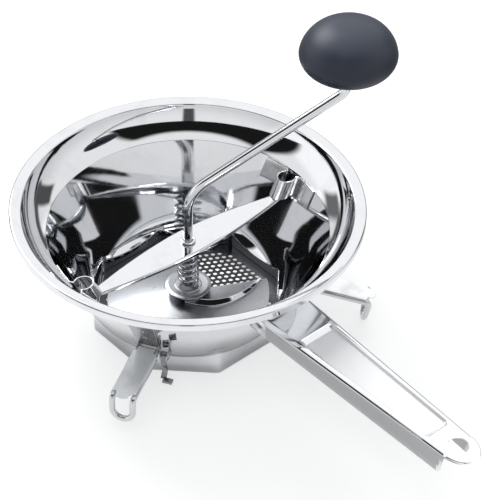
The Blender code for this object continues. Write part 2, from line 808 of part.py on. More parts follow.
def build_keeper():
    """A lug on the skirt's flat beside the latch, under which the sieve's edge is held."""
    root = joint_empty("keeper_place", mill, (0, 0, 0), (0, 0, -2 * math.pi / skirt_sides))
    face = skirt_outer_apothem + gap
    middle = keeper_setback - skirt_outer_apothem * math.tan(math.pi / skirt_sides)
    nearest = math.hypot(face, middle + keeper_half_width)
    top = shoulder_at(nearest, shoulder_radius + wall_across, skirt_outer_apothem) - keeper_clearance
    outline = [(face, keeper_base), (face + keeper_depth, keeper_base + keeper_depth),
               (face + keeper_depth / 2, top), (face, top)]
    prism("latch_keeper", outline, middle - keeper_half_width, middle + keeper_half_width,
          brushed_steel, root, "XZ")


def stand_on_origin():
    """Moves the mill so that its box stands on the origin, and prints the joints' places."""
    bpy.context.view_layer.update()
    graph = bpy.context.evaluated_depsgraph_get()
    corners = []
    for piece in bpy.data.objects:
        if piece.type in {"MESH", "CURVE"} and not piece.hide_render:
            body = piece.evaluated_get(graph)
            shape = body.to_mesh()
            corners += [body.matrix_world @ vertex.co for vertex in shape.vertices]
            body.to_mesh_clear()
    low = [min(corner[axis] for corner in corners) for axis in range(3)]
    high = [max(corner[axis] for corner in corners) for axis in range(3)]
    mill.location = (-(low[0] + high[0]) / 2, -(low[1] + high[1]) / 2, -low[2])
    bpy.context.view_layer.update()
    print("box", [round((top - base) / MM, 2) for base, top in zip(low, high)], "mm, lowest", low[2])
    for piece in bpy.data.objects:
        if piece.type == "EMPTY":
            across = piece.matrix_world.to_3x3() @ Vector((0, 1, 0))
            print(piece.name, [round(value, 6) for value in piece.matrix_world.translation],
                  "lateral", [round(value, 6) for value in across])


build_bowl()
build_sieve()
crank_axis = joint_empty("crank_axis", mill, (0, 0, 0))
build_crank(crank_axis)
build_hub_and_blade(crank_axis)
press_axis = joint_empty("press_axis", mill, (0, 0, 0))
build_spring(press_axis)
build_crossbar(press_axis)
build_clips()
build_handle()
for arm_name, arm_angle in arm_angles.items():
    build_arm(arm_name, arm_angle, arm_droops[arm_name])
build_latch()
build_keeper()
stand_on_origin()
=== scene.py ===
import math

import bmesh
import bpy
from mathutils import Matrix, Vector


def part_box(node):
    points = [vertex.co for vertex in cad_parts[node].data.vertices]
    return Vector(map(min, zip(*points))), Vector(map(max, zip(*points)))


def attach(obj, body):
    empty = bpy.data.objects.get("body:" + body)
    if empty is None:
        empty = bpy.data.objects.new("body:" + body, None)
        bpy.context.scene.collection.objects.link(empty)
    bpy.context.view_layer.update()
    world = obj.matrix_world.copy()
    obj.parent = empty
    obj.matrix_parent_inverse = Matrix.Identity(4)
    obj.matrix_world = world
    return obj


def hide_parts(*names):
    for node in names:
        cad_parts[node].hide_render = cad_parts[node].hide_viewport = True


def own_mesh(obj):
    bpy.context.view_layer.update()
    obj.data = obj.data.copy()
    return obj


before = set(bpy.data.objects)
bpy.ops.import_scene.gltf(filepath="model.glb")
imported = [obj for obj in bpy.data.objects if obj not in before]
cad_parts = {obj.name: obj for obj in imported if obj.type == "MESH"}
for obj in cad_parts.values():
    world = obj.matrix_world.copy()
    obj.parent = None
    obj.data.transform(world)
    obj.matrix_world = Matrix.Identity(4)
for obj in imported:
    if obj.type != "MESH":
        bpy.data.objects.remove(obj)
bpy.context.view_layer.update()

# Bowl. One deep drawn stainless sheet, mirror polished: a flat rim with a rolled hem, a hollow
# collar, a cone, and an eight sided skirt whose inner ledge carries the sieve.
MM = 0.001
hub_low, hub_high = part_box("blade_hub")
mill_place = Vector(((hub_low[0] + hub_high[0]) / 2, (hub_low[1] + hub_high[1]) / 2, 0))


def wire_up(tree, kind, settings=None, **inputs):
    """Adds a node; inputs are its sockets' values, or the output sockets that feed them."""
    made = tree.nodes.new("ShaderNode" + kind)
    for name, value in (settings or {}).items():
        setattr(made, name, value)
    for name, value in inputs.items():
        key = int(name[1:]) if name[0] == "_" else name.replace("_", " ")
        if isinstance(value, bpy.types.NodeSocket):
            tree.links.new(value, made.inputs[key])
        else:
            made.inputs[key].default_value = value
    return made


def sums(operation, *values):
    """A sum of values and sockets, in the tree of its first socket."""
    tree = next(value.id_data for value in values if isinstance(value, bpy.types.NodeSocket))
    inputs = {"_%d" % index: value for index, value in enumerate(values)}
    return wire_up(tree, "Math", {"operation": operation}, **inputs).outputs[0]


def times(first, *others):
    """The product of a socket and others."""
    for other in others:
        first = sums("MULTIPLY", first, other)
    return first


def slide(value, start, end, low, high):
    """A smooth step from low to high while the value goes from start to end."""
    return wire_up(value.id_data, "MapRange", {"interpolation_type": "SMOOTHSTEP"}, Value=value,
                   From_Min=start, From_Max=end, To_Min=low, To_Max=high).outputs[0]


def blend(share, first, second):
    """Mixes two colours; at a share of 1 only the second is left."""
    colours = {"data_type": "RGBA"}
    return wire_up(share.id_data, "Mix", colours, Factor=share, _6=first, _7=second).outputs[2]


def noise(where, scale, **rest):
    return wire_up(where.id_data, "TexNoise", Vector=where, Scale=scale, **rest).outputs[0]


def new_material(name):
    made = bpy.data.materials.new(name)
    made.use_nodes = True
    made.node_tree.nodes.clear()
    return made, made.node_tree


def new_group(name, inputs, outputs):
    made = bpy.data.node_groups.new(name, "ShaderNodeTree")
    for label, kind, value in inputs:
        socket = made.interface.new_socket(name=label, in_out="INPUT", socket_type=kind)
        if value is not None:
            socket.default_value = value
    for label, kind in outputs:
        made.interface.new_socket(name=label, in_out="OUTPUT", socket_type=kind)
    return made, made.nodes.new("NodeGroupInput").outputs, made.nodes.new("NodeGroupOutput").inputs


FLOAT, VECTOR, COLOUR = "NodeSocketFloat", "NodeSocketVector", "NodeSocketColor"

# Fine lines and slow waves: a roughness that varies, and a height for the bump
polish, given, result = new_group("Polish Marks", [
    ("Coordinates", VECTOR, None), ("Lines", VECTOR, (1, 1, 1)), ("Roughness", FLOAT, 0.06),
    ("Spread", FLOAT, 0.05), ("Line Height", FLOAT, 0.1), ("Wave Height", FLOAT, 1.0),
    ("Wave Scale", FLOAT, 30.0)], [("Roughness", FLOAT), ("Height", FLOAT), ("Haze", FLOAT)])
stretched = wire_up(polish, "VectorMath", {"operation": "MULTIPLY"}, _0=given["Coordinates"],
                    _1=given["Lines"]).outputs[0]
lines = noise(stretched, 1.0, Detail=4.0, Roughness=0.65)
waves = noise(given["Coordinates"], given["Wave Scale"], Detail=1.0, Roughness=0.4)
haze = noise(given["Coordinates"], 55.0, Detail=5.0, Roughness=0.6, Distortion=0.6)
smears = slide(haze, 0.48, 0.74, 0, 1)
varied = times(sums("SUBTRACT", lines, 0.4), given["Spread"])
clouded = times(smears, given["Spread"], 0.5)
polish.links.new(sums("ADD", given["Roughness"], sums("ADD", varied, clouded)), result["Roughness"])
height = sums("ADD", times(lines, given["Line Height"]), times(waves, given["Wave Height"]))
polish.links.new(height, result["Height"])
polish.links.new(smears, result["Haze"])

# Edges: convex edges turn lighter, a painted highlight patchy like abrasion; hollows turn darker
highlight_and_wear, given, result = new_group("Edge Highlight And Wear", [
    ("Colour", COLOUR, (1, 1, 1, 1)), ("Worn", COLOUR, (1, 1, 1, 1)), ("Grime", COLOUR, (0, 0, 0, 1)),
    ("Wear Amount", FLOAT, 0.6), ("Grime Amount", FLOAT, 0.5), ("Coordinates", VECTOR, None)],
    [("Colour", COLOUR)])
point = wire_up(highlight_and_wear, "NewGeometry").outputs["Pointiness"]
patchy = noise(given["Coordinates"], 120.0, Detail=4.0)
edge = times(slide(point, 0.52, 0.6, 0, 1), slide(patchy, 0.3, 0.6, 0.3, 1), given["Wear Amount"])
hollow = times(slide(point, 0.49, 0.4, 0, 1), given["Grime Amount"])
highlit_colour = blend(edge, given["Colour"], given["Worn"])
highlight_and_wear.links.new(blend(hollow, highlit_colour, given["Grime"]), result["Colour"])
highlight_tone, recess_tone, satin_fade, satin_side_fade = 1.15, 0.35, 4 * MM, 3 * MM


def toned(colour, share):
    return (*[min(1, value * share) for value in colour], 1)


def steel(name, colour, roughness, spread, lines, line_height, wave_height, wave_scale=30.0,
          grime=0.35, haze_tone=0.94, satin=None, painted_side_shade=1):
    """Metal with polishing lines along the small values of lines, haze, waves, darker hollows and
    lighter edges, a painted highlight.
    """
    made, tree = new_material(name)
    found = wire_up(tree, "TexCoord").outputs
    where = found["Object"]
    marks = wire_up(tree, "Group", {"node_tree": polish}, Coordinates=where, Lines=lines,
                    Roughness=roughness, Spread=spread, Line_Height=line_height,
                    Wave_Height=wave_height, Wave_Scale=wave_scale).outputs
    base = blend(marks["Haze"], toned(colour, 1), toned(colour, haze_tone))
    # Faces turned sideways along Y are painted darker: painted shade, standing in for the darker things
    # they reflect.
    if painted_side_shade < 1:
        facing = wire_up(tree, "SeparateXYZ", Vector=found["Normal"]).outputs[1]
        upright = slide(sums("ABSOLUTE", facing), 0.7, 0.95, 0, 1)
        base = blend(upright, base, toned(colour, painted_side_shade))
    edges = wire_up(tree, "Group", {"node_tree": highlight_and_wear}, Colour=base, Worn=toned(colour, highlight_tone),
                    Grime=toned(colour, recess_tone), Grime_Amount=grime, Coordinates=where).outputs
    height = wire_up(tree, "Bump", Strength=0.2, Distance=MM, Height=marks["Height"])
    rough = marks["Roughness"]
    if satin:
        low, high, half, amount = satin
        along, across, _ = wire_up(tree, "SeparateXYZ", Vector=where).outputs
        inside = times(slide(along, low, low + satin_fade, 0, 1),
                       slide(along, high - satin_fade, high, 1, 0),
                       slide(sums("ABSOLUTE", across), half - satin_side_fade, half, 1, 0))
        rough = sums("ADD", rough, times(inside, amount))
    shader = wire_up(tree, "BsdfPrincipled", Base_Color=edges["Colour"], Metallic=1.0,
                     Roughness=rough, Normal=height.outputs[0])
    wire_up(tree, "OutputMaterial", Surface=shader.outputs[0])
    return made


def fit(piece, look, body, slot, *nodes, place=mill_place, turn=(0, 0, 0)):
    """Puts a piece in its place and finish, on its body, in the stead of its solids."""
    piece.location = place
    piece.rotation_euler = turn
    piece.data.materials.clear()
    piece.data.materials.append(look)
    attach(piece, body)
    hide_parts(*nodes)


rim_radius, rim_height, rim_hem, rim_corner = 120 * MM, 96 * MM, 5 * MM, 1.4 * MM
lip_radius, lip_drop = 112 * MM, 1.2 * MM
crease_radius, crease_height, collar_bulge = 96 * MM, 75 * MM, 2.2 * MM
crease_round, lip_round, shoulder_round = 0.9 * MM, 2.2 * MM, 1.6 * MM
bowl_wall, wall_lean = 1 * MM, math.radians(26)
wall_spread = math.tan(wall_lean)
wall_across = bowl_wall / math.cos(wall_lean)
shoulder_height, shoulder_end_slope = 30 * MM, 0.65
shoulder_radius = crease_radius - (crease_height - shoulder_height) * wall_spread
skirt_apothem, skirt_sides, skirt_corner = shoulder_radius - 11.95 * MM, 8, 5 * MM
skirt_outer = skirt_apothem + bowl_wall
hem_width, ledge_top, ledge_width, ledge_round = 2.4 * MM, 6.2 * MM, 4.6 * MM, 0.4 * MM
foot_round, foot_nib = 0.8 * MM, 0.25 * MM
shoulder_steps, collar_steps, sector_steps = 12, 16, 18


def polar(radius, angle, height=0.0):
    return Vector((radius * math.cos(angle), radius * math.sin(angle), height))


def shares(steps):
    """Even steps from 0 up to 1, with both ends."""
    return [step / steps for step in range(steps + 1)]


def arc(centre, radius, start, end, steps):
    return [Vector(centre) + polar(radius, start + (end - start) * share).xy for share in shares(steps)]


def eased(points, radii, steps, closed=False):
    """Rounds the corners of a route. Each corner with a radius becomes steps + 1 points."""
    route = []
    count = len(points)
    for index, corner in enumerate(points):
        radius = radii[index] if isinstance(radii, (list, tuple)) else radii
        if not closed and index in (0, count - 1) or radius == 0:
            route.append(corner)
            continue
        before, after = points[index - 1], points[(index + 1) % count]
        inward, outward = (before - corner).normalized(), (after - corner).normalized()
        half = math.acos(max(-1, min(1, inward.dot(outward)))) / 2
        shorter = min((before - corner).length, (after - corner).length)
        reach = min(radius / math.tan(half), shorter * 0.49)
        start, end = corner + inward * reach, corner + outward * reach
        for share in shares(steps):
            near = start.lerp(corner, share)
            far = corner.lerp(end, share)
            route.append(near.lerp(far, share))
    return route


def beside(line, distance):
    """Moves a line of radii and heights sideways, to the right of its direction."""
    moved = []
    for index, here in enumerate(line):
        into = here - line[index - 1] if index else line[1] - here
        out = line[index + 1] - here if index < len(line) - 1 else into
        along = (into.normalized() + out.normalized()).normalized()
        moved.append(here + Vector((along.y, -along.x)) * distance / math.cos(into.angle(out) / 2))
    return moved


def placed(name, data):
    made = bpy.data.objects.new(name, data)
    bpy.context.collection.objects.link(made)
    return made


def soften(mesh, sharp):
    mesh.shade_smooth()
    mesh.set_sharp_from_angle(angle=math.radians(sharp))


def mesh_piece(name, points, faces, sharp=40):
    mesh = bpy.data.meshes.new(name)
    mesh.from_pydata([tuple(point) for point in points], [], faces)
    shape = bmesh.new()
    shape.from_mesh(mesh)
    bmesh.ops.remove_doubles(shape, verts=shape.verts, dist=0.001 * MM)
    bmesh.ops.recalc_face_normals(shape, faces=shape.faces)
    shape.to_mesh(mesh)
    shape.free()
    soften(mesh, sharp)
    return placed(name, mesh)


def skin(name, rings, closed=False, capped=True, looped=True, sharp=40):
    """Skins rows of equal counts; closed joins the last row to the first."""
    count = len(rings[0])
    points = [point for row in rings for point in row]
    faces = []
    for row in range(len(rings) if closed else len(rings) - 1):
        near, far = row * count, (row + 1) % len(rings) * count
        for step in range(count if looped else count - 1):
            side = (step + 1) % count
            faces.append((near + step, near + side, far + side, far + step))
    if capped and not closed and looped:
        faces.append(tuple(reversed(range(count))))
        faces.append(tuple(range(len(points) - count, len(points))))
    return mesh_piece(name, points, faces, sharp)


def skirt_radius(apothem, angle):
    """An eight sided outline with rounded corners, its flats facing the handle."""
    half = math.pi / skirt_sides
    away = abs((angle + half) % (2 * half) - half)
    straight = (apothem - skirt_corner) * math.tan(half)
    if math.tan(away) * apothem <= straight:
        return apothem / math.cos(away)
    middle = (apothem - skirt_corner) / math.cos(half)
    off = half - away
    return middle * math.cos(off) + math.sqrt(skirt_corner ** 2 - (middle * math.sin(off)) ** 2)


def bowl_lines(angle, crown, outside):
    """One section of the wall at an angle, from the foot of the skirt to the rim."""
    apothem = skirt_outer if outside else skirt_apothem
    low, top = skirt_radius(apothem, angle), crown[0].x
    bend = (1 / wall_spread - shoulder_end_slope) / (2 * (top - apothem))
    shoulder = []
    for share in shares(shoulder_steps)[:-1]:
        radius = low + (top - low) * share
        inward = top - radius
        shoulder.append(Vector((radius, shoulder_height - inward / wall_spread + bend * inward ** 2)))
    foot = Vector((low, foot_round if outside else ledge_top))
    line = [foot, foot.lerp(shoulder[0], 0.5)] + shoulder
    radii = [0, 0, shoulder_round] + [0] * (shoulder_steps - 1)
    return eased(line + crown, radii + [0] * len(crown), 4)


chord = Vector((lip_radius - crease_radius, rim_height - lip_drop - crease_height))
sag = Vector((chord.y, -chord.x)).normalized() * collar_bulge
cone = [Vector((shoulder_radius, shoulder_height)), Vector((crease_radius, crease_height))]
collar = [cone[1] + chord * share + sag * 4 * share * (1 - share) for share in shares(collar_steps)[1:]]
flat_rim = arc((rim_radius - rim_corner, rim_height - rim_corner), rim_corner, math.radians(98), 0, 6)
crown = eased([cone[0], cone[0].lerp(cone[1], 0.5), *cone[1:], *collar, *flat_rim,
               Vector((rim_radius, rim_height - rim_hem))],
              [0, 0, crease_round, *[0] * (collar_steps - 1), lip_round, *[0] * (len(flat_rim) + 1)], 5)
crown_under = beside(crown, bowl_wall)

bowl_angles = []
for sector in range(skirt_sides):
    for step in range(-sector_steps, sector_steps):
        share = 1 - (1 - abs(step) / sector_steps) ** 1.7
        bowl_angles.append(2 * math.pi / skirt_sides * (sector + math.copysign(share, step) / 2))
sections = []
for angle in bowl_angles:
    inner = bowl_lines(angle, crown, False)
    outer = bowl_lines(angle, crown_under, True)
    rim_end = crown[-1].lerp(crown_under[-1], 0.5) - Vector((0, 0.4 * MM))
    foot_radius = skirt_radius(skirt_outer, angle)
    ledge_radius = skirt_radius(skirt_apothem - ledge_width, angle)
    inside_radius = skirt_radius(skirt_outer - hem_width, angle)
    foot = [Vector((inside_radius, 0)), Vector((foot_radius - foot_round, 0)),
            Vector((foot_radius - foot_nib, foot_nib))]
    ledge = [Vector((ledge_radius + ledge_round, ledge_top)),
             Vector((ledge_radius, ledge_top - bowl_wall / 2)),
             Vector((ledge_radius + ledge_round, ledge_top - bowl_wall)),
             Vector((inside_radius, ledge_top - bowl_wall))]
    section = foot + outer + [rim_end] + list(reversed(inner)) + ledge
    sections.append([polar(point.x, angle, point.y) for point in section])
mirror_steel = steel("mirror_steel", (0.68, 0.69, 0.71), 0.035, 0.05, (40, 40, 900), 0.02, 0.5)
bowl = skin("bowl_shell", [list(row) for row in zip(*sections)], closed=True)
fit(bowl, mirror_steel, "body", "mirror_steel", "bowl")

# Sieve. A flat steel disc on the ledge, punched with small round holes in staggered rows, plain
# round the middle and along its edge.
sieve_low, sieve_thickness, sieve_edge = 6.5 * MM, 0.8 * MM, 61.8 * MM
sieve_pitch, sieve_hole, hole_sides, sieve_merge = 4.8 * MM, 1.6 * MM, 12, 0.02 * MM
sieve_plain_middle, sieve_plain_border, sieve_rows = 13 * MM, 4.4 * MM, 17


def from_shape(name, shape):
    mesh = bpy.data.meshes.new(name)
    shape.to_mesh(mesh)
    shape.free()
    return placed(name, mesh)


shape = bmesh.new()
row_step = sieve_pitch * math.sin(math.pi / 3)
corner_reach = sieve_pitch / math.sqrt(3)
flat_reach = corner_reach * math.cos(math.pi / 6)
turns = [2 * math.pi * side / hole_sides for side in range(hole_sides)]
for row in range(-sieve_rows, sieve_rows + 1):
    for column in range(1 - sieve_rows, sieve_rows):
        middle = Vector(((column + row % 2 / 2) * sieve_pitch, row * row_step, 0))
        rim = [shape.verts.new(middle + polar(corner_reach if side % 2 else flat_reach, turn))
               for side, turn in enumerate(turns)]
        if sieve_plain_middle < middle.length < sieve_edge - sieve_plain_border:
            hole = [shape.verts.new(middle + polar(sieve_hole, turn)) for turn in turns]
            for side in range(hole_sides):
                shape.faces.new((rim[side - 1], rim[side], hole[side], hole[side - 1]))
        else:
            shape.faces.new(rim)
bmesh.ops.remove_doubles(shape, verts=shape.verts, dist=sieve_merge)
for side in range(skirt_sides):
    outward = polar(1, 2 * math.pi * side / skirt_sides)
    bmesh.ops.bisect_plane(shape, geom=shape.verts[:] + shape.edges[:] + shape.faces[:],
                           plane_co=outward * sieve_edge, plane_no=outward, clear_outer=True)
bmesh.ops.recalc_face_normals(shape, faces=shape.faces)
sieve = from_shape("sieve_plate", shape)
for vertex in sieve.data.vertices:
    vertex.co.z += sieve_low + sieve_thickness
if sieve.data.polygons[0].normal.z < 0:
    sieve.data.flip_normals()
solid = sieve.modifiers.new("metal", "SOLIDIFY")
solid.thickness = sieve_thickness
solid.offset = -1
# The sieve's colour is far darker than steel: painted shade, standing in for the shade and dark
# reflections inside the bowl.
sieve_shaded_steel = steel("sieve_shaded_steel", (0.062, 0.064, 0.07), 0.24, 0.1, (300, 300, 40), 0.05, 0.3)
fit(sieve, sieve_shaded_steel, "body", "brushed_steel", "sieve_disc")

# Crank. A polished rod bent by hand round a former, through the hub and up to the knob, with a
# pressed collar that stops the crossbar from riding up.
rod_radius, rod_foot, rod_bore, rod_hold = 3.3 * MM, 2.5 * MM, 3.6 * MM, 3.32 * MM
crank_angle, crank_low_bend, crank_reach = math.radians(60), 104.5 * MM, 105 * MM
crank_high_bend, crank_low_radius, crank_high_radius = 175 * MM, 28 * MM, 9 * MM
knob_base, knob_bore_depth = 191 * MM, 16 * MM
bar_top, bar_bow, bar_thickness, gap = 61 * MM, 1.6 * MM, 1 * MM, 0.3 * MM
up = Vector((0, 0, 1))


def ring(radius, height, steps):
    return [polar(radius, 2 * math.pi * step / steps, height) for step in range(steps)]


def turned(name, profile, corner=0.0, steps=96, bored=True, sharp=40):
    """Turns a profile of radii and heights about Z, with its corners eased."""
    line = eased([Vector(point) for point in profile], corner, 4, closed=bored) if corner else profile
    rings = [ring(radius, height, steps) for radius, height in line]
    return skin(name, rings, closed=bored, capped=False, sharp=sharp)


def band(name, inner, outer, low, high, *rest, **named):
    return turned(name, [(inner, low), (outer, low), (outer, high), (inner, high)], *rest, **named)


def bent(points, radii, steps):
    """Replaces each inner corner of a route with a true arc."""
    route = [points[0]]
    for before, corner, after, radius in zip(points, points[1:], points[2:], radii):
        inward, outward = (before - corner).normalized(), (after - corner).normalized()
        half = inward.angle(outward) / 2
        centre = corner + (inward + outward).normalized() * radius / math.sin(half)
        start = (corner + inward * radius / math.tan(half) - centre).normalized()
        end = (corner + outward * radius / math.tan(half) - centre).normalized()
        route += [centre + start.slerp(end, share) * radius for share in shares(steps)]
    return route + [points[-1]]


def rod(name, route, radius, sides, ease=0.5 * MM):
    """A round bar along a route, with its end faces' edges eased."""
    tangents = [(after - before).normalized()
                for before, after in zip(route[:1] + route, route[1:] + route[-1:])]
    across = tangents[0].orthogonal().normalized()
    rings = []
    for index, (point, way) in enumerate(zip(route, tangents)):
        across = (across - way * across.dot(way)).normalized()
        over = way.cross(across)
        sizes = [(0.0, radius)]
        if index == 0:
            sizes = [(0.0, radius - ease), (ease * 0.3, radius - ease * 0.3), (ease, radius)]
        elif index == len(route) - 1:
            sizes = [(-ease, radius), (-ease * 0.3, radius - ease * 0.3), (0.0, radius - ease)]
        for shift, size in sizes:
            rings.append([point + way * shift + (across * math.cos(turn) + over * math.sin(turn)) * size
                          for turn in (2 * math.pi * side / sides for side in range(sides))])
    return skin(name, rings)


outward = polar(1, crank_angle)
crank_route = bent([up * rod_foot, up * crank_low_bend, outward * crank_reach + up * crank_high_bend,
                    outward * crank_reach + up * (knob_base + knob_bore_depth - gap)],
                   (crank_low_radius, crank_high_radius), 24)
rod_steel = steel("rod_steel", (0.66, 0.67, 0.69), 0.09, 0.09, (300, 300, 30), 0.06, 0.25, 60.0)
fit(rod("crank_bar", crank_route, rod_radius, 32), rod_steel, "crank", "mirror_steel", "crank_rod")

collar_low = bar_top + bar_bow + gap
collar_radius, collar_width = 5.2 * MM, 1.8 * MM
stop = band("crank_collar", rod_hold, collar_radius, collar_low, collar_low + collar_width, 0.7 * MM)
fit(stop, rod_steel, "crank", "mirror_steel", "rod_collar")

# Knob. A moulded plastic mushroom that spins on the rod's upright end, its crown leaning out a
# little, with a fine satin skin.
knob_radius, knob_height, knob_lean = 32.3 * MM, 37 * MM, 1.5 * MM
knob_steps = 96
knob_shares = ((0.17, 0.004), (0.27, 0.0), (0.4, 0.012), (0.62, 0.055), (0.78, 0.11), (0.9, 0.19),
               (0.97, 0.28), (1.0, 0.38), (0.985, 0.48), (0.945, 0.58), (0.88, 0.68), (0.79, 0.775),
               (0.665, 0.862), (0.51, 0.932), (0.34, 0.975), (0.17, 0.995), (0.0, 1.0))


def smooth_line(points, per):
    """A Catmull-Rom line through points."""
    line, padded = [], [points[0], *points, points[-1]]
    for p0, p1, p2, p3 in zip(padded, padded[1:], padded[2:], padded[3:]):
        line += [0.5 * (2 * p1 + (p2 - p0) * t + (2 * p0 - 5 * p1 + 4 * p2 - p3) * t * t
                        + (3 * p1 - p0 - 3 * p2 + p3) * t ** 3) for t in shares(per)[:-1]]
    return line + [points[-1]]


crown_line = smooth_line([Vector(share) for share in knob_shares], 4)
rings = [ring(radius, height, knob_steps) for radius, height in
         ((0, knob_bore_depth), (rod_bore, knob_bore_depth), (rod_bore, 0.4 * MM))]
for share in crown_line:
    lean = outward * knob_lean * share.y ** 2
    turns = ring(max(knob_radius * share.x, 0), knob_height * max(share.y, 0), knob_steps)
    rings.append([point + lean for point in turns])
knob = skin("knob_body", rings, capped=False)

plastic, tree = new_material("knob_plastic")
where = wire_up(tree, "TexCoord").outputs["Object"]
fine = noise(where, 1800.0, Detail=2.0)
rub = noise(where, 70.0, Detail=5.0, Roughness=0.6)
base = blend(slide(rub, 0.35, 0.75, 0, 1), (0.005, 0.008, 0.022, 1), (0.008, 0.012, 0.030, 1))
# Towards its top the knob turns lighter: a painted highlight.
height = wire_up(tree, "SeparateXYZ", Vector=where).outputs[2]
base = blend(slide(height, 0.45 * knob_height, knob_height, 0, 1), base, (0.036, 0.044, 0.066, 1))
# Its convex edges turn lighter too: a painted highlight.
edges = wire_up(tree, "Group", {"node_tree": highlight_and_wear}, Colour=base, Worn=(0.04, 0.045, 0.06, 1),
                Grime=(0.004, 0.005, 0.008, 1), Wear_Amount=0.3, Coordinates=where).outputs
grain = wire_up(tree, "Bump", Strength=0.25, Distance=0.05 * MM, Height=fine)
shader = wire_up(tree, "BsdfPrincipled", Base_Color=edges["Colour"], Specular_IOR_Level=0.45,
                 Roughness=slide(rub, 0.3, 0.7, 0.4, 0.48), Normal=grain.outputs[0])
wire_up(tree, "OutputMaterial", Surface=shader.outputs[0])
knob_place = mill_place + outward * crank_reach + up * knob_base
fit(knob, plastic, "grip", "dark_plastic", "knob", place=knob_place)

# Hub and presser blade. A turned hub is staked to the rod and carries a wound sheet blade that
# presses the food down through the sieve, with a leaf of steel that lifts it off the hub.
hub_top, hub_flange, hub_boss, hub_foot = 24 * MM, 16 * MM, 7.2 * MM, 8.4 * MM
blade_radius, blade_thickness, blade_low, blade_rise = 56.5 * MM, 0.9 * MM, 9.6 * MM, 8 * MM
blade_hub_height, blade_start, blade_sweep = 17.4 * MM, math.radians(-228), math.radians(290)
blade_inner = hub_boss + gap
vane_start, vane_sweep, vane_twist = math.radians(-50), math.radians(112), math.radians(4)
vane_top, vane_tip_top, vane_foot_lift, vane_thickness = 21.6 * MM, 19.4 * MM, 1.4 * MM, 0.8 * MM

hub_under, hub_neck, hub_seat = hub_top - 1.9 * MM, 9.6 * MM, 8.8 * MM
hub_line = [(rod_hold, hub_foot), (hub_boss, hub_foot), (hub_boss, hub_under),
            (hub_flange - 2 * MM, hub_under), (hub_flange, hub_top - 1.2 * MM),
            (hub_flange, hub_top - 0.5 * MM), (hub_flange - 2.4 * MM, hub_top - 0.1 * MM),
            (hub_neck, hub_top - 0.5 * MM), (hub_seat, hub_top), (rod_hold, hub_top)]
hub = turned("hub_turned", hub_line, 0.3 * MM, 128)
blade_steel = steel("blade_steel", (0.38, 0.39, 0.41), 0.28, 0.16, (200, 200, 40), 0.05, 0.3, 45.0)
fit(hub, blade_steel, "crank", "mirror_steel", "blade_hub")


def round_edges(piece, width):
    rounding = piece.modifiers.new("rounding", "BEVEL")
    rounding.width = width
    rounding.segments = 2
    rounding.limit_method = "ANGLE"
    rounding.angle_limit = math.radians(50)


def sheet_metal(name, grid, thickness, ease=0.25 * MM):
    """A grid of points with the metal behind its faces, and its cut edges eased."""
    made = skin(name, grid, looped=False)
    wanted = (grid[0][1] - grid[0][0]).cross(grid[1][0] - grid[0][0])
    if made.data.polygons[0].normal.dot(wanted) < 0:
        made.data.flip_normals()
    metal = made.modifiers.new("metal", "SOLIDIFY")
    metal.thickness = thickness
    metal.offset = -1
    metal.use_even_offset = True
    round_edges(made, ease)
    made.modifiers.new("normals", "WEIGHTED_NORMAL").keep_sharp = True
    return made


def blade_height(angle, out):
    share = (angle - blade_start) / blade_sweep
    return blade_hub_height + (blade_low + blade_rise * share ** 4 - blade_hub_height) * out


blade_turns, blade_rows, blade_spread = 144, 14, blade_radius - blade_inner
grid = []
for out in reversed(shares(blade_rows)):
    angles = [blade_start + blade_sweep * share for share in shares(blade_turns)]
    grid.append([polar(blade_inner + blade_spread * out, angle, blade_height(angle, out))
                 for angle in angles])
presser = sheet_metal("presser_sheet", grid, blade_thickness)
fit(presser, blade_steel, "crank", "mirror_steel", "presser_blade")

grid = []
vane_rows, vane_steps = 6, 60
for climb in shares(vane_rows):
    line = []
    for share in shares(vane_steps):
        angle = vane_start + vane_sweep * share
        low_out, high_out = 0.12 + 0.8 * share ** 2, 0.03 + 0.84 * share ** 2
        low = blade_height(angle, low_out) + vane_foot_lift
        high = vane_top + (vane_tip_top - vane_top) * share
        near = polar(blade_inner + blade_spread * low_out, angle, low)
        far = polar(blade_inner + blade_spread * high_out, angle + (1 - share) * vane_twist, high)
        line.append(near.lerp(far, climb))
    grid.append(line)
leaf = sheet_metal("lifting_leaf", grid, vane_thickness)
fit(leaf, mirror_steel, "crank", "mirror_steel", "hub_vane")

# Spring and washer. Hard drawn wire wound six times between the hub and a washer; it pushes the
# crossbar up into its clips.
spring_radius, spring_wire, spring_turns, turn_steps = 6.4 * MM, 1.1 * MM, 6, 40
washer_radius, washer_height = 8.8 * MM, 1 * MM
spring_low = hub_top + gap
spring_high = bar_top + bar_bow - bar_thickness - 0.6 * MM - washer_height
straight = 2 * spring_wire
spring_route = [polar(spring_radius, 0, spring_low)]
for share in shares(spring_turns * turn_steps):
    turn = 2 * math.pi * spring_turns * share
    climb = (spring_high - spring_low - 2 * straight) * share
    spring_route.append(polar(spring_radius, turn, spring_low + straight + climb))
spring_route.append(polar(spring_radius, 0, spring_high))
drawn_marks = (400, 400, 400), 0.05, 0.1
spring_steel = steel("spring_steel", (0.38, 0.39, 0.41), 0.18, 0.12, *drawn_marks, grime=0.6)
coil = rod("spring_coil", spring_route, spring_wire, 14, 0.2 * MM)
fit(coil, spring_steel, "bar_seat", "spring_steel", "spring")
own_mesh(coil)
washer_low = spring_high + gap
washer = band("spring_seat", rod_bore, washer_radius, washer_low, washer_low + washer_height, 0.3 * MM)
fit(washer, spring_steel, "bar_seat", "brushed_steel", "spring_washer")

# Crossbar. A pressed bar, widest in the middle, with its long edges turned down and its tips
# tucked under the clips; the crank turns in its middle hole.
bar_reach, bar_half, bar_tip_half, bar_taper_power = 79 * MM, 12.8 * MM, 3.2 * MM, 1.6
bar_flange, bar_tip_flange, bar_corner = 3.8 * MM, 2.2 * MM, 1.6 * MM
bar_angle, bar_steps = math.radians(88.5), 96

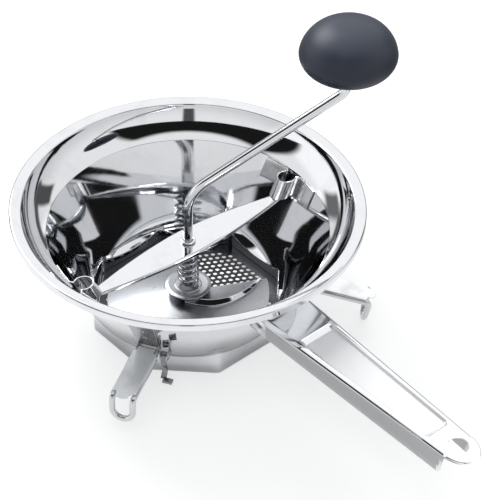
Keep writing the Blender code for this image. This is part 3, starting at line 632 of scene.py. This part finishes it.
grid = []
for place in shares(bar_steps):
    along = bar_reach * (2 * place - 1)
    share = abs(along) / bar_reach
    half = bar_tip_half + (bar_half - bar_tip_half) * (1 - share ** bar_taper_power)
    flange = bar_flange + (bar_tip_flange - bar_flange) * share ** 2
    level = bar_top + bar_bow * (1 - share ** 2)
    side = [Vector((half, level - flange))]
    side += arc((half - bar_corner, level - bar_corner), bar_corner, 0, math.pi / 2, 6)
    inner = [Vector(((half - bar_corner) * part, level)) for part in (0.66, 0.33)]
    line = side + inner + [Vector((0, level))]
    line += [Vector((-point.x, point.y)) for point in reversed(side + inner)]
    grid.append([Vector((along, point.x, point.y)) for point in line])
crossbar = sheet_metal("locking_crossbar", grid, bar_thickness)


def drilled(piece, name, radius, low, high, along=0, steps=64):
    """Cuts a round upright hole, and makes it and the piece's modifiers part of its mesh."""
    hole = band(name, 0, radius, low, high, 0, steps, bored=False)
    hole.location.x = along
    cut = piece.modifiers.new("hole", "BOOLEAN")
    cut.operation = "DIFFERENCE"
    cut.solver = "EXACT"
    cut.object = hole
    graph = bpy.context.evaluated_depsgraph_get()
    mesh = bpy.data.meshes.new_from_object(piece.evaluated_get(graph))
    piece.modifiers.clear()
    piece.data = mesh
    soften(mesh, 32)
    bpy.data.objects.remove(hole, do_unlink=True)


drilled(crossbar, "crossbar_hole", rod_bore, bar_top - 8 * MM, bar_top + 5 * MM)
fit(crossbar, mirror_steel, "locking_bar", "mirror_steel", "crossbar", turn=(0, 0, bar_angle))

# Clips. Satin strips spot welded to the cone, each folded into an upright tube above a tip of
# the crossbar. The welds show as two shallow dimples on each wing.
clip_height, clip_thickness, clip_tube, clip_stand_off = 13 * MM, 0.8 * MM, 6.2 * MM, 0.9 * MM
clip_wing, clip_fillet, clip_bend, clip_mouth = 19 * MM, 2.4 * MM, 1.6 * MM, math.radians(38)
clip_welds, clip_weld_out = (3.6 * MM, 9.4 * MM), 0.62


def cone_radius(height):
    return crease_radius - (crease_height - height) * wall_spread


def outside_cone(height, stand=0):
    """The radius of a face that stands off the outside of the cone, a gap and more away."""
    return cone_radius(height) + wall_across + gap + stand / math.cos(wall_lean)


def wall_normal(angle):
    return polar(math.cos(wall_lean), angle, -math.sin(wall_lean))


def gathered(name, parts):
    """Joins shapes, with their modifiers and places, into one piece."""
    graph = bpy.context.evaluated_depsgraph_get()
    whole = bmesh.new()
    for part in parts:
        shaped = bpy.data.meshes.new_from_object(part.evaluated_get(graph))
        shaped.transform(part.matrix_world)
        whole.from_mesh(shaped)
        bpy.data.meshes.remove(shaped)
    for part in parts:
        bpy.data.objects.remove(part, do_unlink=True)
    made = from_shape(name, whole)
    soften(made.data, 35)
    return made


weld_radius, weld_rise = 1.5 * MM, 0.35 * MM
weld_shares = ((1, 0), (0.9, 1), (0.68, 1), (0.4, 0.35), (0, 0.2))


def weld_mark(place, outward):
    """A spot weld: a shallow ring with a dimple, standing on a face."""
    profile = [(weld_radius * out, weld_rise * rise) for out, rise in weld_shares]
    made = turned("weld", profile, 0, 24, bored=False)
    made.matrix_world = Matrix.Translation(place) @ outward.to_track_quat("Z", "Y").to_matrix().to_4x4()
    return made


clip_steel = steel("clip_steel", (0.64, 0.65, 0.66), 0.14, 0.12, (40, 40, 500), 0.05, 0.3)
tube_middle = clip_stand_off + clip_tube
near = -clip_tube * math.sin(clip_mouth) - clip_fillet
loop = arc((0, tube_middle), clip_tube, -math.pi / 2 - clip_mouth, -5 * math.pi / 2 + clip_mouth, 40)
for name, angle in (("left", bar_angle + math.pi), ("right", bar_angle)):
    route = [Vector((near - clip_wing, 0)), Vector((near - clip_wing / 2, 0)), Vector((near, 0))] + loop
    route += [Vector((-near, 0)), Vector((-near + clip_wing / 2, 0)), Vector((-near + clip_wing, 0))]
    route = eased(route, [0, 0, clip_bend] + [0] * len(loop) + [clip_bend, 0, 0], 6)
    grid = []
    for share in shares(6):
        height = bar_top + gap + clip_height * share
        face = cone_radius(height) - gap
        grid.append([polar(face - across, angle + along / face, height) for along, across in route])
    parts = [sheet_metal("clip", grid, clip_thickness)]
    for side in (-1, 1):
        for height in clip_welds:
            level = bar_top + gap + height
            face = cone_radius(level) - gap - 0.02 * MM
            turn = angle + side * (abs(near) + clip_wing * clip_weld_out) / face
            parts.append(weld_mark(polar(face, turn, level), -wall_normal(turn)))
    fit(gathered("wall_clip_" + name, parts), clip_steel, "body", "brushed_steel", "clip_" + name)

# Handle. A tapered channel pressed from one sheet and welded to the cone, with flanges turned
# down for stiffness, a long pressed panel, and a round tip with a hole to hang it by.
handle_top, handle_slope = 68.9 * MM, math.radians(1.5)
root_half, end_half, handle_end, handle_tip = 20 * MM, 13 * MM, 253 * MM, 270 * MM
root_flange, end_flange, handle_lip = 12.6 * MM, 17 * MM, 2 * MM
handle_thickness, handle_corner, flange_run_out = 1 * MM, 4.5 * MM, 3 * MM
panel_start, panel_end, panel_depth = 126 * MM, 239 * MM, 2.2 * MM
panel_border, panel_slope, panel_run, panel_satin = 1 * MM, 1.8 * MM, 4.32 * MM, 15 * MM
tip_turn, hole_place, hole_radius = math.radians(70), 255 * MM, 6.9 * MM


def handle_level(along):
    return handle_top - (along - crease_radius) * math.tan(handle_slope)


def handle_share(along):
    return (min(along, handle_end) - crease_radius) / (handle_end - crease_radius)


def step_between(value, start, end):
    share = max(0, min(1, (value - start) / (end - start)))
    return share * share * (3 - 2 * share)


handle_start, handle_steps, tip_steps, close_step = 100 * MM, 100, 24, 0.4 * MM
places = [handle_start + (handle_end - handle_start) * share for share in shares(handle_steps)]
places += [middle + close_step * step for middle in (panel_start + 2 * MM, panel_end - 2 * MM)
           for step in range(-8, 9)]
stations = [(None, 1)] + [(place, 1) for place in sorted(places)]
for share in shares(tip_steps)[1:]:
    turn = tip_turn * share
    out = (handle_tip - handle_end) * math.sin(turn) / math.sin(tip_turn)
    stations.append((handle_end + out, math.cos(turn)))
grid = []
for along, narrowing in stations:
    reach = crease_radius if along is None else along
    half = (root_half + (end_half - root_half) * handle_share(reach)) * narrowing
    flange = root_flange + (end_flange - root_flange) * handle_share(reach)
    flange += (handle_lip - flange) * step_between(reach, handle_end, handle_end + flange_run_out)
    corner = min(handle_corner * half / root_half, flange - 0.4 * MM)
    inset = half - corner - panel_border * half / root_half
    slope = panel_slope * half / root_half
    pressed = step_between(reach, panel_start, panel_start + panel_run)
    pressed *= 1 - step_between(reach, panel_end - panel_run, panel_end)
    side = [Vector((half, -flange)), Vector((half, -(flange + corner) / 2))]
    side += arc((half - corner, -corner), corner, 0, math.pi / 2, 8)
    for part in shares(6):
        drop = panel_depth * pressed * step_between(part, 0, 1)
        side.append(Vector((inset - slope * 1.4 * part, -drop)))
    side += [Vector((side[-1].x * part, side[-1].y)) for part in (0.66, 0.33)]
    line = side + [Vector((0, side[-1].y))] + [Vector((-point.x, point.y)) for point in reversed(side)]
    row = []
    for across, drop in line:
        start = along
        if along is None:
            face = outside_cone(handle_level(crease_radius) + drop)
            start = math.sqrt(face ** 2 - across ** 2)
        row.append(Vector((start, across, handle_level(start) + drop)))
    grid.append(row)
handle = sheet_metal("handle_channel", grid, handle_thickness)
level = handle_level(hole_place)
drilled(handle, "hanging_hole", hole_radius, level - 6 * MM, level + 4 * MM, hole_place, 96)
# Its sideways flanges are painted darker: painted shade.
handle_steel = steel("handle_steel", (0.84, 0.85, 0.865), 0.05, 0.07, (30, 700, 700), 0.03, 0.3,
                     satin=(panel_start, panel_end, panel_satin, 0.3), painted_side_shade=0.42)
fit(handle, handle_steel, "body", "mirror_steel", "handle")

# Support arms. Three satin straps that fold on pins in brackets welded under the bowl, each
# with a thick wire bent into a hook that hangs over the rim of a pot.
arms = {"front": (math.radians(-59.8), 0.0), "right": (math.radians(45), math.radians(15)),
        "rear": (math.radians(180), 0.0)}
pin_height, pin_radius, arm_reach = 33 * MM, 1.4 * MM, 130 * MM
strap_half, strap_thickness, knuckle_half = 7.8 * MM, 1 * MM, 5.9 * MM
strap_steps, strap_rows, hook_steps = 14, 16, 32
strap_neck, strap_neck_run, corner_setback, strap_notch = 4.2 * MM, 0.6 * MM, 5.5 * MM, 1 * MM
tongue_half, tongue_overhang, tongue_bow = 4.3 * MM, 1.5 * MM, 2.4 * MM
hook_wire, hook_half, hook_length = 2.1 * MM, 9.2 * MM, 19.5 * MM
hook_angle, hook_bend = math.radians(88), 3.4 * MM
bracket_top, bracket_thickness, bracket_ear, ear_height = 64 * MM, 1 * MM, 1.2 * MM, 7.6 * MM
bracket_welds, loose = (48 * MM, 58 * MM), 0.6 * MM
knuckle = pin_radius + gap + strap_thickness
pin_place = outside_cone(pin_height, bracket_thickness + knuckle + loose)
ear_inside = knuckle_half + gap
ear_outside = ear_inside + bracket_ear
bracket_turn = ear_outside / (pin_place - 4 * MM)


def plate(name, outline, start, end, ease=0.25 * MM):
    """A flat piece cut to an outline in X and Z, between two places on Y."""
    rings = [[Vector((along, depth, height)) for along, height in outline] for depth in (start, end)]
    made = skin(name, rings, sharp=25)
    round_edges(made, ease)
    return made


def pin(name, radius, low, high):
    """A rivet along Y with domed heads."""
    bulge = radius * 0.35
    profile = [(0, low), (radius * 0.6, low + bulge * 0.3), (radius * 0.95, low + bulge),
               (radius * 0.95, high - bulge), (radius * 0.6, high - bulge * 0.3), (0, high)]
    made = turned(name, profile, 0, 32, bored=False, sharp=60)
    made.data.transform(Matrix.Rotation(-math.pi / 2, 4, "X"))
    return made


def ear_nose(along, height):
    """The round end of an ear, from its top to its bottom, about a pin's place."""
    radius = pin_radius + loose + bracket_ear
    return reversed(arc((along, height), radius, -math.pi / 2, math.pi / 2, 16))


arm_steel = steel("arm_steel", (0.80, 0.81, 0.82), 0.28, 0.16, (30, 900, 900), 0.12, 0.15,
                  haze_tone=0.88)
bracket_steel = steel("bracket_steel", (0.40, 0.41, 0.42), 0.26, 0.16, (500, 500, 40), 0.1, 0.2,
                      grime=0.6)
pin_steel = steel("pin_steel", (0.56, 0.57, 0.59), 0.16, 0.1, *drawn_marks, grime=0.6)
wire_steel = steel("wire_steel", (0.58, 0.59, 0.6), 0.17, 0.14, (250, 250, 250), 0.06, 0.2, 120.0)
for name, (angle, droop) in arms.items():
    low, high = pin_height - ear_height / 2, pin_height + ear_height / 2
    grid = []
    for share in shares(8):
        height = low + (bracket_top - low) * share
        face = outside_cone(height, bracket_thickness)
        grid.append([polar(face, bracket_turn * (2 * side - 1), height) for side in shares(12)])
    parts = [sheet_metal("bracket", grid, bracket_thickness)]
    outline = [Vector((outside_cone(height) + bracket_thickness / 2, height)) for height in (low, high)]
    outline += ear_nose(pin_place, pin_height)
    for start, end in ((-ear_outside, -ear_inside), (ear_inside, ear_outside)):
        parts.append(plate("ear", outline, start, end))
    for level in bracket_welds:
        parts.append(weld_mark(polar(outside_cone(level, bracket_thickness), 0, level), wall_normal(0)))
    fit(gathered("bracket_" + name, parts), bracket_steel, "body", "brushed_steel",
        "arm_bracket_" + name, turn=(0, 0, angle))

    place = mill_place + polar(pin_place, angle, pin_height)
    turn = (0, droop, angle)
    body = "arm_" + name
    hinge = pin("pin_" + name, pin_radius, -ear_outside - gap, ear_outside + gap)
    fit(hinge, pin_steel, body, "spring_steel", "arm_pin_" + name, place=place, turn=turn)

    length = arm_reach - pin_place
    corner = length - corner_setback
    shoulder = corner + strap_notch
    columns = [(length + tongue_overhang, tongue_half), (length - 2 * MM, tongue_half),
               (shoulder + 1.6 * MM, tongue_half), (shoulder, tongue_half + 0.5 * MM),
               (corner + 0.2 * MM, strap_half - 0.4 * MM), (corner - 0.6 * MM, strap_half)]
    columns += [(corner + (strap_neck + strap_neck_run - corner) * share, strap_half)
                for share in shares(strap_steps)[1:]]
    columns.append((strap_neck, knuckle_half))
    roll = arc((0, 0), knuckle, math.pi / 2, math.radians(330), 28)
    grid = []
    for share in shares(strap_rows):
        side = 1 - 2 * share
        line = [Vector((along, half * side, knuckle)) for along, half in columns]
        line += [Vector((point.x, knuckle_half * side, point.y)) for point in roll]
        line[0].x -= tongue_bow * side ** 2
        line[1].x -= tongue_bow * side ** 2 * 0.5
        grid.append(line)
    strap = sheet_metal("strap_" + name, grid, strap_thickness, 0.3 * MM)
    fit(strap, arm_steel, body, "brushed_steel", "arm_strap_" + name, place=place, turn=turn)

    side = hook_half - hook_wire
    under = knuckle - strap_thickness - gap - hook_wire
    away = Vector((math.cos(hook_angle), 0, -math.sin(hook_angle)))
    bend = Vector((length - hook_wire, 0, under))
    turn_middle = bend + away * (hook_length - side - hook_wire)
    start = Vector((knuckle + hook_wire + gap, 0, under))
    half_route = bent([start, bend, turn_middle], (hook_bend,), 12)
    across = Vector((0, side, 0))
    route = [point - across for point in half_route]
    for share in shares(hook_steps)[1:-1]:
        swing = math.pi * share
        route.append(turn_middle + away * side * math.sin(swing) - across * math.cos(swing))
    route += [point + across for point in reversed(half_route)]
    hook = rod("hook_" + name, route, hook_wire, 24)
    fit(hook, wire_steel, body, "brushed_steel", "arm_wire_" + name, place=place, turn=turn)

# Sieve latch and keeper. A sprung strip on its own pin beside the front arm; its finger is
# pressed to free the sieve, and a folded lug on the skirt keeps the sieve's edge.
latch_offset, latch_half, latch_thickness, latch_pin_height = 10.3 * MM, 2 * MM, 1.1 * MM, 29 * MM
latch_foot, latch_waist, latch_finger = 8.6 * MM, 2.6 * MM, 5 * MM
latch_shares = ((0.3, 0.2), (0.05, 0.42), (-0.75, 0.66), (-0.35, 0.86), (0.5, 1.0))
finger_width, finger_thickness = 4.2 * MM, 2.2 * MM
keeper_half, keeper_high, keeper_low = 2.4 * MM, 8.35 * MM, 7.5 * MM
keeper_depth, keeper_setback = 3 * MM, 4.8 * MM

angle = arms["front"][0]
curl = pin_radius + gap + latch_thickness
face = math.sqrt((outside_cone(latch_pin_height) - gap) ** 2 - latch_offset ** 2)
stand = face + curl + loose + bracket_thickness
ear_near = latch_offset + latch_half + gap
outline = [Vector((math.sqrt(outside_cone(height) ** 2 - ear_near ** 2), height))
           for height in (latch_pin_height - curl, latch_pin_height + curl)]
outline += ear_nose(stand, latch_pin_height)
ear = plate("latch_ear", outline, ear_near, ear_near + bracket_ear)
fit(ear, bracket_steel, "body", "brushed_steel", "latch_bracket", turn=(0, 0, angle))

place = mill_place + Matrix.Rotation(angle, 3, "Z") @ Vector((stand, latch_offset, latch_pin_height))
turn = (0, 0, angle)
rivet = pin("latch_rivet", pin_radius, -latch_half - gap, ear_near + bracket_ear - latch_offset + gap)
fit(rivet, pin_steel, "latch", "spring_steel", "latch_pin", place=place, turn=turn)
drop = latch_foot - latch_pin_height
route = arc((0, 0), curl, math.radians(150), math.radians(-60), 24)
tail = [route[-1]] + [Vector((latch_waist * out, drop * down)) for out, down in latch_shares]
route += smooth_line(tail, 6)[1:]
grid = [[Vector((point.x, latch_half * side, point.y)) for point in route]
        for side in (-1, -0.5, 0, 0.5, 1)]
strip = sheet_metal("strip", grid, latch_thickness)
latch_steel = steel("latch_steel", (0.24, 0.245, 0.26), 0.22, 0.12, *drawn_marks, grime=0.6)
end = route[-1]
near, low = end.x - latch_thickness, end.y - latch_thickness
finger = [Vector((near + finger_width * out, low + finger_thickness * rise))
          for out, rise in ((0, 0), (1, 0), (1, 1), (0, 1))]
finger = plate("finger", eased(finger, 0.6 * MM, 3, closed=True), 0.2 * MM, latch_half + latch_finger)
sprung = gathered("latch_spring", [strip, finger])
fit(sprung, latch_steel, "latch", "spring_steel", "latch_strip", place=place, turn=turn)

face = skirt_outer + gap
middle = keeper_setback - skirt_outer * math.tan(math.pi / skirt_sides)
outline = [Vector((face + keeper_depth * out, keeper_low + rise))
           for out, rise in ((0, 0), (1, keeper_depth), (0.5, keeper_high), (0, keeper_high))]
outline = eased(outline, 0.5 * MM, 3, closed=True)
lug = plate("keeper_lug", outline, middle - keeper_half, middle + keeper_half)
fit(lug, bracket_steel, "body", "brushed_steel", "latch_keeper", turn=(0, 0, -2 * math.pi / skirt_sides))

# Studio. A white paper floor under a pale room. In the steel the room shows a white screen
# behind the mill, a grey ceiling, a bright low wall and the dark side where the viewer stands.
eye = mill_place + Vector((0.8157, -0.6925, 0.9852))
gaze = Vector((-0.5569, 0.5094, -0.6561)).normalized()
eye_roll = math.radians(1.3)
lens_pixels, frame_pixels, film_width = 2073.4, 492, 36

flat_right = gaze.cross(up).normalized()
flat_up = flat_right.cross(gaze)
eye_right = flat_right * math.cos(eye_roll) + flat_up * math.sin(eye_roll)
eye_up = flat_up * math.cos(eye_roll) - flat_right * math.sin(eye_roll)
camera = placed("camera", bpy.data.cameras.new("camera"))
camera.matrix_world = Matrix.Translation(eye) @ Matrix((eye_right, eye_up, -gaze)).transposed().to_4x4()
camera.data.sensor_fit = "HORIZONTAL"
camera.data.sensor_width = film_width
camera.data.lens = lens_pixels / frame_pixels * film_width
camera.data.clip_end = 50
bpy.context.scene.camera = camera
bpy.context.scene.view_settings.view_transform = "Standard"

room = bpy.data.worlds.new("room")
room.use_nodes = True
bpy.context.scene.world = room
tree = room.node_tree
tree.nodes.clear()
ways = wire_up(tree, "TexCoord").outputs["Generated"]
heading = wire_up(tree, "SeparateXYZ", Vector=ways).outputs
low_sky, high_sky, plain_sky, dark_tone, dark_soft = 0.85, 1.1, 0.62, 0.012, 0.012
shade = slide(heading[2], 0, 0.5, low_sky, high_sky)


def along_way(way, spot=ways):
    """How far a spot lies along a way."""
    made = wire_up(spot.id_data, "VectorMath", {"operation": "DOT_PRODUCT"}, _0=spot, _1=way)
    return made.outputs["Value"]


def toward(turn, height):
    """The way to a heading and a height, both in degrees."""
    height = math.radians(height)
    return polar(math.cos(height), math.radians(turn), math.sin(height))


# The dark side is a gable: its ridge is above the viewer, and it falls away to both sides
ridge = toward(-42, 38)
dark = times(slide(heading[2], 0.84, 0.91, 1, 0), slide(along_way(toward(-54, 20)), 0.4, 0.5, 0, 1))
for low_end, side in ((toward(-100, 19), -1), (toward(18, 19), 1)):
    slope = (ridge.cross(low_end) * side).normalized()
    dark = times(dark, slide(along_way(slope), -dark_soft, dark_soft, 0, 1))

# Each panel has its heading, height, half sizes and soft edge, all in degrees, and its brightness
panels = ((134, 44, 34, 28, 6, 1.3), (135, 8, 60, 7, 5, 0.12), (-138, 18, 34, 18, 14, 1.35),
          (-171, 18, 8, 10, 6, 0.2), (-41, 27, 3.5, 15, 2, 0.1), (83, 17, 7, 11, 4, 0.1))
for turn, height, half_width, half_height, soft, brightness in panels:
    middle = toward(turn, height)
    across = Vector((-middle.y, middle.x, 0)).normalized()
    ahead = along_way(middle)
    mask = slide(ahead, 0, 0.1, 0, 1)
    for way, half in ((across, half_width), (middle.cross(across), half_height)):
        spread = sums("ABSOLUTE", sums("DIVIDE", along_way(way), ahead))
        low, high = (math.tan(math.radians(half + side * soft / 2)) for side in (-1, 1))
        mask = times(mask, slide(spread, low, high, 1, 0))
    shade = wire_up(tree, "Mix", _0=mask, _2=shade, _3=float(brightness)).outputs[0]
shade = wire_up(tree, "Mix", _0=dark, _2=shade, _3=dark_tone).outputs[0]
rays = wire_up(tree, "LightPath").outputs
lit = wire_up(tree, "Background", Color=(1, 1, 1, 1), Strength=shade).outputs[0]
plain = wire_up(tree, "Background", Color=(0.97, 0.985, 1, 1), Strength=plain_sky).outputs[0]
white = wire_up(tree, "Background", Color=(1, 1, 1, 1), Strength=1.0).outputs[0]
mixed = wire_up(tree, "MixShader", _0=rays["Is Glossy Ray"], _1=plain, _2=lit).outputs[0]
mixed = wire_up(tree, "MixShader", _0=rays["Is Camera Ray"], _1=mixed, _2=white)
wire_up(tree, "OutputWorld", Surface=mixed.outputs[0])

floor_half, floor_drop = 4, 0.1 * MM
corners = [(floor_half * x, floor_half * y, -floor_drop)
           for x, y in ((-1, -1), (1, -1), (1, 1), (-1, 1))]
floor = mesh_piece("floor", corners, [(0, 1, 2, 3)])

# The paper glows where it is looked at: more under the sieve, a painted pool of light, and more far
# away, which leaves it greyer round the mill, painted shade. In the steel it is dark at the foot of
# the mill, a painted shadow, bright round it, and dim behind it, painted shade.
seen_loss, paper_glow = 0.36, 0.55
under_sieve, sieve_pool_glow = (50 * MM, 60 * MM), 0.95
far_away, far_glow = (0.4, 1), 0.45
foot, foot_shadow_glow, round_glow = (63 * MM, 82 * MM), 0.1, 0.6
behind, behind_shade_loss = (0.05, 0.25), 0.7
paper, tree = new_material("white_paper")
ground = wire_up(tree, "TexCoord").outputs["Object"]
rays = wire_up(tree, "LightPath").outputs
seen = sums("MAXIMUM", rays["Is Camera Ray"], rays["Is Transmission Ray"])
mirrored = rays["Is Glossy Ray"]
off_axis = wire_up(tree, "VectorMath", {"operation": "DISTANCE"}, _0=ground, _1=mill_place)
off_axis = off_axis.outputs["Value"]
# More glow under the sieve: a painted pool of light.
near = slide(off_axis, *under_sieve, sieve_pool_glow, paper_glow)
glowing = times(seen, sums("ADD", near, slide(off_axis, *far_away, 0, far_glow)))
away = along_way(toward(125, 0), ground)
# In the steel the paper is dimmer behind the mill and at its foot: painted shade and a painted shadow.
beyond = times(mirrored, slide(away, *behind, 0, behind_shade_loss))
lit_again = times(sums("SUBTRACT", mirrored, beyond), slide(off_axis, *foot, foot_shadow_glow, round_glow))
glow = wire_up(tree, "Emission", Color=(1, 1, 1, 1), Strength=sums("ADD", glowing, lit_again))
fibre = slide(noise(ground, 900.0), 0.2, 0.8, 0.88, 0.92)
left = sums("SUBTRACT", 1.0, times(sums("MAXIMUM", seen, mirrored), seen_loss))
tone = times(fibre, left, sums("SUBTRACT", 1.0, beyond))
colour = wire_up(tree, "CombineColor", _0=tone, _1=tone, _2=tone).outputs[0]
matte = wire_up(tree, "BsdfDiffuse", Color=colour)
paper_sum = wire_up(tree, "AddShader", _0=matte.outputs[0], _1=glow.outputs[0])
wire_up(tree, "OutputMaterial", Surface=paper_sum.outputs[0])
floor.data.materials.append(paper)

# Each lamp has its heading and height in degrees, its distance, its two sizes and its power
lamps = {"screen": (125, 50, 1.3, 0.7, 0.6, 3), "window": (176, 47, 1.3, 0.55, 0.45, 7),
         "fill": (-60, 62, 1.7, 0.9, 0.9, 4)}
for name, (turn, height, distance, width, tall, power) in lamps.items():
    lamp = placed(name, bpy.data.lights.new(name, "AREA"))
    lamp.data.shape = "RECTANGLE"
    lamp.data.size, lamp.data.size_y = width, tall
    lamp.data.energy = power
    away = toward(turn, height)
    lamp.location = mill_place + away * distance
    lamp.rotation_euler = away.to_track_quat("Z", "Y").to_euler()
    lamp.visible_glossy = name == "window"
